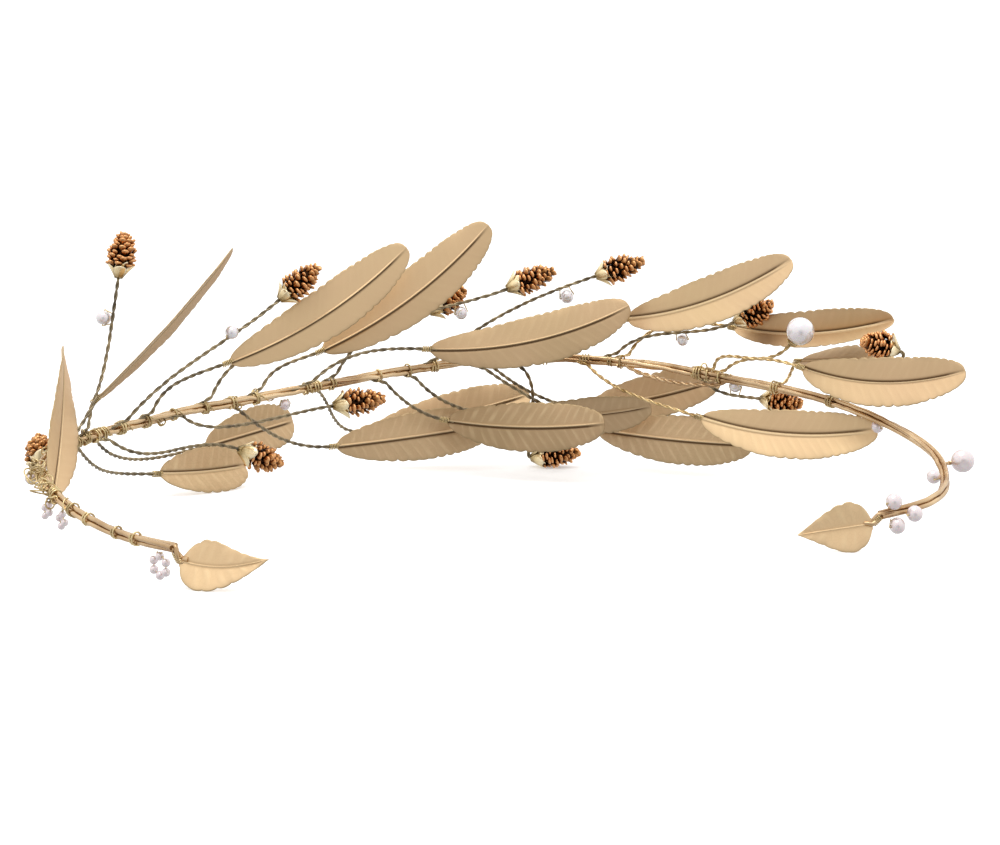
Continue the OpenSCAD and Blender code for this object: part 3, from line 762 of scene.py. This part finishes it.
def stamped_blade(name, foot, axes, course, form, look, half_width, width, base_half):
    """Thin stamped leaf: rows run along its veins, from the midrib out to its scalloped edges"""
    length = course[2]
    roll, twist, fold, sag = form
    vein_depth, painted_light_level, midrib = look
    teeth = round(length / TEETH_PITCH)
    rows = teeth * ROWS_PER_TOOTH
    j = np.arange(rows + 1) / rows
    s = 0.7 * j + 0.3 * (1 - np.cos(np.pi * j)) / 2
    near, far = len(NEAR_RIB), len(FAR_SHARE)
    order = np.arange(near + far)
    S, K = np.meshgrid(s, np.concatenate([-order[:0:-1], order]), indexing="ij")
    sign, place = np.sign(K), np.abs(K)

    def distances(half):
        shrink = np.clip(half / NARROW_HALF, 0.02, 1)
        edge = NEAR_RIB[-1] * shrink
        share = FAR_SHARE[np.clip(place - near, 0, far - 1)]
        return np.where(place < near, NEAR_RIB[np.clip(place, 0, near - 1)] * shrink,
                        edge + share * (half - edge))

    def half_at(U, tooth):
        half = np.maximum(width / 2 * half_width(U) * tooth, 0.02)
        return np.maximum(half, base_half * np.clip(1 - S * 12, 0, 1))

    wide = distances(half_at(S, 1)) / half_at(S, 1)
    U = S + SKEW * wide * np.sin(np.pi * S)
    lobe = np.abs(np.sin(np.pi * teeth * S))
    ends = np.clip(np.minimum(S, 1 - S) * 14, 0, 1)
    uneven = 0.75 + 0.45 * np.sin(5.1 * np.floor(teeth * S + 0.5) + 1.7 * sign + roll)
    tooth = 1 - TOOTH_DEPTH * uneven * ends * (1 - lobe ** 0.6) * wide ** 3
    half = half_at(U, tooth)
    slant = math.radians(fold)
    stray = 0.1 * np.sin(9.7 * S * teeth + 4 * wide + roll) + 0.08 * np.sin(3.3 * S * teeth)
    from_vein = teeth * S + 0.5 + stray
    from_vein = np.abs(from_vein - np.round(from_vein))
    fade = 0.35 + 0.65 * np.abs(np.sin(2.3 * np.floor(teeth * S) + 2.1 * sign + 3 * wide))
    vein = fade * np.exp(-(from_vein / VEIN_W) ** 2) * np.clip((wide - 0.08) * 8, 0, 1)
    vein *= np.clip((1 - wide) * 5, 0, 1)
    y = sign * distances(half)
    rib_w = RIB_W * abs(midrib)
    rib = np.exp(-(y / rib_w) ** 4) * np.clip((1 - S) * 6, 0.1, 1)
    # Groove along one side of the midrib, which also carries the painted shade in the colour
    groove_with_painted_shade = y + math.copysign(rib_w + CREASE_AWAY, midrib)
    ditch = np.exp(-(groove_with_painted_shade / CREASE_W) ** 2) * np.clip((1 - S) * 9, 0, 1)
    ditch *= np.clip(4 * abs(midrib) - 1.6, 0, 1)
    ruffle = np.sin(2 * np.pi * S * 2.3 + roll) + 0.6 * np.sin(2 * np.pi * S * 5.1 + 2 * sag)
    lift = (np.abs(y) * math.sin(slant) + RUFFLE * ruffle * wide ** 3
            + vein_depth * VEIN_H * vein * ends)
    raised = lift + RIB_H * rib - CREASE_DEPTH * ditch
    thick = SHEET_T * (1 - 0.55 * wide ** 6) / 2
    side = turned(axes, roll + twist * (1 - U))[0]
    line = blade_course(axes, length, form, U)
    side = side - np.sum(side * line, axis=-1, keepdims=True) * line
    side /= np.linalg.norm(side, axis=-1, keepdims=True)
    rise = np.cross(-side, line)
    middle = blade_point(foot, axes, length, form, U)
    flat = (y * math.cos(slant))[..., None] * -side
    top = middle + flat + (raised + thick)[..., None] * rise
    under = middle + flat + (lift + 0.45 * RIB_H * rib - thick)[..., None] * rise
    points = np.concatenate([top.reshape(-1, 3), under.reshape(-1, 3)])
    # Marks for the colour: painted highlight on the ridges, painted shade beside the midrib and each leaf's
    # painted light level; the rim and the vein net are the metal's own
    piece = new_piece_with_marks(name, points, sheet_faces(rows, K.shape[1]), {
        "relief": np.concatenate([(vein * 0.4 * vein_depth + 0.7 * rib).ravel(), (vein * 0.2).ravel()]),
        "rim": np.concatenate([(wide ** 20).ravel()] * 2),
        "groove_with_painted_shade": np.concatenate([ditch.ravel(), 0 * ditch.ravel()]),
        "net": np.full(len(points), max(0.0, 0.5 * vein_depth - 0.2)),
        "painted_light_level": np.full(len(points), painted_light_level),
    }, np.concatenate([np.stack([U * length, y], -1).reshape(-1, 2)] * 2))
    rest_on_floor(piece)
    return coated(piece, LEAF_GOLD)


def new_piece_with_marks(name, points, faces, marks, flat_places):
    """Piece whose points carry the named values and whose UV map holds their flat places"""
    mesh = bpy.data.meshes.new(name)
    mesh.from_pydata([tuple(p) for p in (points - MIDDLE) * MM], [], faces)
    for label, values in marks.items():
        mark = mesh.attributes.new(label, "FLOAT", "POINT")
        mark.data.foreach_set("value", np.clip(values, 0, 1).astype(np.float32))
    corner_points = np.zeros(len(mesh.loops), np.int32)
    mesh.loops.foreach_get("vertex_index", corner_points)
    layer = mesh.uv_layers.new(name="flat_sheet")
    layer.data.foreach_set("uv", flat_places[corner_points].astype(np.float32).ravel())
    return dress_mesh(name, mesh)


def make_leaf(number, row):
    tie, base, course, form, look = row
    name = f"leaf_{number:02d}"
    foot, along = set_out(base, course)
    axes = blade_frame(along, -outwards(base[0]))
    start = blade_course(axes, course[2], form, 0.0)
    blade = stamped_blade(name + "_blade", foot, axes, course, form, look, long_width, LEAF_W, 0.6)
    ride(blade, "leaf_metal", name)
    guide = stem_guide(tie, foot, start, 1.2)
    finish = GILT_TWIST if number >= FIRST_GILT else AGED_TWIST
    stem = wound(name + "_stem", [guide], finish, phase=0.37 * number, looseness=0.25, seed=number)
    ride(stem, "stem_wire", name)
    return foot, start


def make_end_leaf(row):
    name, end, drop, course, form, look = row
    station = end * BAND_L
    away = (2 * end - 1) * band_course(station)
    butt = band_at(station) + SEAT * away
    along = heading(azimuth_of(away) + course[0], course[1])
    axes = blade_frame(along, -outwards(station))
    foot = butt + END_STUB * unit(away + along) - drop * UP
    blade = stamped_blade(name + "_blade", foot, axes, course, form, look, ovate_width, END_LEAF_W, 0.8)
    ride(blade, "leaf_metal", name)
    stalk = wound(name + "_stalk", [[butt - 1.5 * away, butt, foot, foot + 1.2 * along]], BAND_GOLD,
                  wire_r=0.4, wind_r=0.3, pitch=6, step=0.2)
    ride(stalk, "band_wire", name)
    return butt, foot, along


# Cones and their cups
def tongue(name, length, width, thick, hook, cup, outline):
    """Upright scale or petal whose outer side faces +X: a cupped tongue that bends outwards"""
    sides, rings = 8, []
    for t, wide, deep in outline:
        ring = []
        for k in range(sides):
            a = math.tau * k / sides
            y, x = width / 2 * wide * math.cos(a), thick / 2 * deep * math.sin(a)
            ring.append(np.array([x + hook * t * t - cup * (y / (width / 2)) ** 2, y, length * t]))
        rings.append(ring)
    points = [p for ring in rings for p in ring]
    points += [np.mean(rings[0], axis=0), np.mean(rings[-1], axis=0) + np.array([0, 0, 0.03 * length])]
    piece = new_piece(name, [p + MIDDLE for p in points], loft_faces(len(rings), sides))
    reach = piece.data.attributes.new("reach", "FLOAT", "POINT")
    reach.data.foreach_set("value", [v.co.z / (length * MM) for v in piece.data.vertices])
    piece.hide_render = True
    piece.hide_viewport = True
    return piece


def turned_core(name, outline, sides=20):
    """Upright turned body through pairs of radius and height"""
    rings = [[np.array([r * math.cos(math.tau * k / sides), r * math.sin(math.tau * k / sides), z])
              + MIDDLE for k in range(sides)] for r, z in outline]
    return lofted(name, rings)


def whorled(name, core, blade, finish, rows, length, radius, angles, openings, last_size, jitter, seed):
    """Core set with rows of a number of blades each; pairs of degrees are for the first and last row"""
    return grown(name, core, WHORLS, {
        "Blade": blade, "Rows": rows[0], "Per Row": rows[1], "Length": length * MM,
        "Radius": radius * MM, "First Angle": math.radians(angles[0]),
        "Last Angle": math.radians(angles[1]), "First Opening": math.radians(openings[0]),
        "Last Opening": math.radians(openings[1]), "First Size": 1.0, "Last Size": last_size,
        "Jitter": jitter, "Seed": seed, "Finish": finish})


def make_cone(number, row, scale_blade, petal_blade):
    tie, base, course = row
    foot, along = set_out(base, course)
    length = course[2] - CUP_L - SEAT
    name = f"cone_{number:02d}"
    stem_name = f"cone_stem_{number:02d}"
    core = turned_core(name + "_core", [
        (0.8, 0), (1.25, 0.15 * length), (1.5, 0.38 * length), (1.4, 0.62 * length), (1.0, 0.84 * length),
        (0.3, 0.96 * length)])
    cone = whorled(name + "_scales", core, scale_blade, COPPER, (9, 8), 0.82 * length, 1.6, (52, 158),
                   (46, -8), 0.85, 0.25, number)
    place_upright(cone, foot + (CUP_L - 0.2) * along, along)
    ride(cone, "cone_metal", name)
    neck = turned_core(name + "_neck", [
        (0.3, 0), (0.42, 0.25), (0.5, 0.7), (0.75, 1.4), (0.85, 1.9)], 12)
    cup = whorled(stem_name + "_cup", neck, petal_blade, CUP_GOLD, (2, 4), 0.35, 0.5, (90, 90), (34, 24),
                  0.9, 0.14, number + 50)
    place_upright(cup, foot, along)
    ride(cup, "band_wire", stem_name)
    guide = stem_guide(tie, foot, along, 0.5)
    stem = wound(stem_name + "_wire", [guide], AGED_TWIST, phase=0.61 * number, looseness=0.3,
                 seed=30 + number)
    ride(stem, "stem_wire", stem_name)


# Pearls
def pearl_shape(name, beads, finish):
    """Beads, a little flat and dimpled where drilled: rows of centre, diameter and drilled axis"""
    work = bmesh.new()
    for centre, diameter, axis in beads:
        place = Matrix.Translation(Vector(metres(centre))) @ upright_to(axis)
        made = bmesh.ops.create_uvsphere(work, u_segments=28, v_segments=18, radius=diameter / 2 * MM)
        for vert in made["verts"]:
            pole = abs(vert.co.z) / (diameter / 2 * MM)
            vert.co.z *= 0.96 - 0.12 * max(0, pole - 0.93) / 0.07
        bmesh.ops.transform(work, matrix=place, verts=made["verts"])
    mesh = bpy.data.meshes.new(name)
    work.to_mesh(mesh)
    work.free()
    mesh.polygons.foreach_set("use_smooth", [True] * len(mesh.polygons))
    return coated(linked(name, mesh), finish)


def bead_loop(root, centre, diameter, c, reach):
    """Wire that leaves the root's wire, goes through a bead drilled along c and comes back"""
    way = BEAD_EXIT * diameter * c
    return [root - reach * c, centre - way, centre + way, root + reach * c]


def make_stem_beads():
    """Single beads on the cones' stems, each on a loop of fine wire that goes through it"""
    loops = []
    for number, (cone, share, bearing_angle, diameter) in enumerate(STEM_BEADS, 1):
        tie, base, course = CONES[cone - 1]
        foot, along = set_out(base, course)
        c = stem_course(tie, foot, along, share)
        side = across(outwards(tie[0]), c)
        a = math.radians(bearing_angle)
        bearing = math.cos(a) * side + math.sin(a) * np.cross(c, side)
        root = stem_point(tie, foot, along, share)
        centre = root + (STEM_R + SEAT + diameter / 2) * bearing
        ride(pearl_shape(f"stem_bead_{number}_pearl", [(centre, diameter, c)], PEARL),
             "pearl", f"stem_bead_{number}")
        loops.append(bead_loop(root, centre, diameter, c, 0.8))
    return loops


def make_band_pearls():
    loops, pins = [], []
    for number, group in enumerate(BAND_PEARLS, 1):
        beads = []
        for station, angle, diameter, off, pinned in group:
            bearing = band_bearing(station, angle)
            c = band_course(station)
            root = band_at(station) + (band_reach(station, bearing) + SEAT) * bearing
            centre = root + (off + diameter / 2) * bearing
            beads.append((centre, diameter, c))
            if pinned:
                pins.append([root - 0.5 * bearing, centre])
            elif off > FLOWER_GAP:
                loops[-1] = loops[-1][:-3] + [centre] + loops[-1][-3:]
            elif off:
                loops.append([root - 0.3 * c, centre, centre, centre, root + 0.3 * c])
            else:
                loops.append(bead_loop(root, centre, diameter, c, 0.6))
        ride(pearl_shape(f"band_pearls_{number}_beads", beads, ROSE_PEARL), "pearl",
             f"band_pearls_{number}")
    ride(wound("pearl_pin", pins, BAND_GOLD, wire_r=0.22, wind_r=0.16, pitch=1.6, step=0.1), "band_wire")
    return loops


def make_large_pearl():
    tie, base, course, diameter = STEM_PEARL
    foot, along = set_out(base, course)
    dish = turned_core("pearl_stem_dish", [
        (0.3, -0.2), (0.42, 0), (0.88, DISH_H / 2), (DISH_R, DISH_H), (0.95, DISH_H), (0.6, DISH_H / 2)], 24)
    coated(dish, CUP_GOLD)
    place_upright(dish, foot, along)
    ride(dish, "band_wire", "pearl_stem")
    stem = wound("pearl_stem_wire", [stem_guide(tie, foot, along, 0.2)], GILT_TWIST, seed=70)
    ride(stem, "stem_wire", "pearl_stem")
    centre = foot + (DISH_H + SEAT + diameter / 2) * along
    ride(pearl_shape("large_pearl_bead", [(centre, diameter, along)], PEARL), "pearl", "large_pearl")


# Band
def band_line(start, end, step=0.5, out=0.0, up=0.0):
    count = max(2, round((end - start) / step))
    return [beside_band((start + (end - start) * i / count, out, up)) for i in range(count + 1)]


def make_band():
    near_ends = [band_line(0, BUNDLE_FROM + BUNDLE_LAP, 1.0),
                 band_line(BUNDLE_TO - BUNDLE_LAP, BAND_L, 1.0)]
    ends = wound("band_parallel_wires", near_ends, BAND_GOLD, strands=3, wire_r=0.4, wind_r=0.5,
                 pitch=130, looseness=0.12, step=0.6, sides=12, phase=0.2)
    ride(ends, "band_wire", "band")
    bundle = wound("band_bundle", [band_line(BUNDLE_FROM, BUNDLE_TO, 1.0)], BAND_GOLD, strands=3,
                   wire_r=0.42, wind_r=0.48, pitch=55, looseness=0.22, step=0.4, sides=10)
    ride(bundle, "band_wire", "band")


def make_side_strand():
    drop = WIRE_R + WIRE_PITCH / 2 + SEAT + STEM_R
    strand = []
    for i in range(-STRAND_LEAD_STEPS, STRAND_STEPS + STRAND_LEAD_STEPS + 1):
        u = i / STRAND_STEPS
        swing = math.sin(math.pi * min(max(u, 0), 1))
        near = min(1, max(0, 1 + STRAND_LEAD_RATE * min(u, 1 - u)))
        strand.append(beside_band((STRAND_FROM + (STRAND_TO - STRAND_FROM) * u, -STRAND_SWING * swing,
                                   -drop * near - STRAND_SAG * swing)))
    side = wound("band_side_strand_wire", [strand], BAND_GOLD, wire_r=0.24, wind_r=0.2, pitch=3.4,
                 looseness=0.1)
    ride(side, "band_wire", "band_side_strand")


def crinkled(centre, reach, turns, seed):
    """Tangle of wire: loops that drift about the centre and change their size and slant"""
    points, steps = [], 60
    for i in range(int(turns * steps) + 1):
        a = math.tau * i / steps
        size = 0.62 + 0.24 * math.sin(0.43 * a + seed) + 0.14 * math.sin(1.71 * a + 2 * seed)
        lean, twist = 1.3 * math.sin(0.31 * a + 2 * seed), 0.9 * math.sin(0.19 * a + 3 * seed)
        bow = np.array([math.cos(a) * math.cos(twist), math.sin(a) * math.sin(lean) + math.sin(twist) * 0.4,
                        math.sin(a) * math.cos(lean)]) * size
        drift = 0.3 * np.array([math.sin(0.27 * a + seed), math.sin(0.37 * a), math.cos(0.23 * a + seed)])
        points.append(np.asarray(centre) + (bow + drift) * reach)
    return points


def bind(name, lines, wire_r, wind_r, pitch, step, looseness=0.0, seed=0.0):
    """Single fine wire along the lines, for which the frame has no node"""
    ride(wound(name, lines, BINDING_GOLD, 1, wire_r, wind_r, pitch, looseness=looseness, step=step,
               sides=6, seed=seed), "band_wire")


def make_bindings(feet, loops):
    """Fine binding wire: along the band, in a knot at each tie, and a collar at each leaf's base"""
    bind("band_binding", [band_line(*ends, 0.5) for ends in BOUND_STRETCHES], 0.12, 0.92, 5.7, 0.16, 0.7)
    ties = sorted({row[0][0] for row in LEAVES + CONES} | {STEM_PEARL[0][0]})
    knots = [band_line(s - 1.7, s - 0.5 + 0.5 * math.sin(3.1 * s), 0.2) for s in ties]
    knots += [band_line(s, s + 0.9, 0.2) for s in SPARE_KNOTS]
    bind("band_knots", knots, 0.17, 1.0, 0.55, 0.05, 0.9, seed=5)
    collars = [[foot + along * x for x in np.linspace(-1.5, 0.3, 9)] for foot, along in feet]
    bind("leaf_collars", collars, 0.11, 0.5, 0.3, 0.028, 0.3, seed=9)
    bind("bead_wires", loops, 0.11, 0.0, 5, 0.2)
    tangles = [crinkled(beside_band(row[:3]), row[3], row[4], 0.7 * row[0]) for row in TANGLES]
    bind("wire_tangles", tangles, 0.14, 0.0, 5, 0.12)


# Assembly
make_band()
make_side_strand()
feet = [make_leaf(number, row) for number, row in enumerate(LEAVES, 1)]
for row in END_LEAVES:
    butt, foot, along = make_end_leaf(row)
    feet.append((foot - 0.3 * along, unit(foot - butt)))
scale_blade = tongue("cone_scale", 1.35, 1.4, 0.55, 0.25, 0.15, [
    (0, 0.5, 0.6), (0.3, 0.8, 0.7), (0.55, 1, 0.9), (0.76, 0.95, 1.1), (0.92, 0.7, 0.95), (1, 0.4, 0.5)])
petal_blade = tongue("cup_petal", 3.1, 2.3, 0.3, 0.35, 0.45, [
    (0, 0.4, 1), (0.2, 0.7, 1), (0.45, 1, 1), (0.7, 0.98, 1), (0.88, 0.7, 0.9), (1, 0.25, 0.7)])
for number, row in enumerate(CONES, 1):
    make_cone(number, row, scale_blade, petal_blade)
make_large_pearl()
loops = make_stem_beads() + make_band_pearls()
make_bindings(feet, loops)
for blade in (scale_blade, petal_blade):
    bpy.data.objects.remove(blade)


# Floor, light and camera
CAMERA_RISE = 9
CAMERA_AWAY = 0.532
CAMERA_AIM = Vector((0, 0.018, 0.014))
LAMP_PLACE = (-0.1, -0.1, 0.8)
LAMP_AIM = (0, 0.01, 0.015)


def make_floor():
    mesh = bpy.data.meshes.new("floor")
    reach = 9.0
    mesh.from_pydata([(-reach, -reach, 0), (reach, -reach, 0), (reach, reach, 0), (-reach, reach, 0)],
                     [], [(0, 1, 2, 3)])
    floor = linked("floor", mesh)
    material, _, paper = shader("pale_floor")
    set_inputs(paper, {"Base Color": (0.9, 0.9, 0.9, 1), "Roughness": 0.9, "Specular IOR Level": 0.0,
                       "Emission Color": (1, 1, 1, 1), "Emission Strength": 0.3})
    coated(floor, material)
    floor.visible_diffuse = False
    floor.visible_glossy = False


def faced(thing, place, aim):
    """Sets a lamp or camera at the place and points it at the aim"""
    thing.location = place
    thing.rotation_euler = (Vector(aim) - Vector(place)).to_track_quat("-Z", "Y").to_euler()


def make_overhead_lamp():
    light = bpy.data.lights.new("overhead", "AREA")
    light.shape = "DISK"
    light.size = 0.5
    light.energy = 2.2
    faced(linked("overhead", light), LAMP_PLACE, LAMP_AIM)


def make_light():
    """Soft surroundings, brighter above and behind than in front, and one broad lamp overhead"""
    world = bpy.data.worlds.new("studio")
    world.use_nodes = True
    bench = Bench(world.node_tree)
    way = bench.add("ShaderNodeSeparateXYZ", {0: bench.add("ShaderNodeTexCoord").outputs["Generated"]})
    height = bench.remap(way.outputs[2], -0.7, 0.4, 0.68, 1.12)
    depth = bench.remap(way.outputs[1], -1.0, 1.0, -0.09, 0.14)
    open_side = bench.remap(way.outputs[1], -0.88, -0.99, 0.0, -0.5)
    strength = bench.plus(bench.plus(height, depth), open_side)
    background = world.node_tree.nodes["Background"]
    background.inputs["Color"].default_value = (1, 1, 1, 1)
    bench.tree.links.new(strength, background.inputs["Strength"])
    bpy.context.scene.world = world
    make_overhead_lamp()
    bpy.context.scene.view_settings.view_transform = "Standard"


def make_camera():
    rise = math.radians(CAMERA_RISE)
    camera = bpy.data.cameras.new("camera")
    camera.lens = 110
    camera.sensor_width = 36
    camera.clip_start = 0.01
    camera.clip_end = 50
    view = linked("camera", camera)
    place = CAMERA_AIM + CAMERA_AWAY * Vector((0, -math.cos(rise), math.sin(rise)))
    faced(view, place, CAMERA_AIM)
    bpy.context.scene.camera = view


make_floor()
make_light()
make_camera()
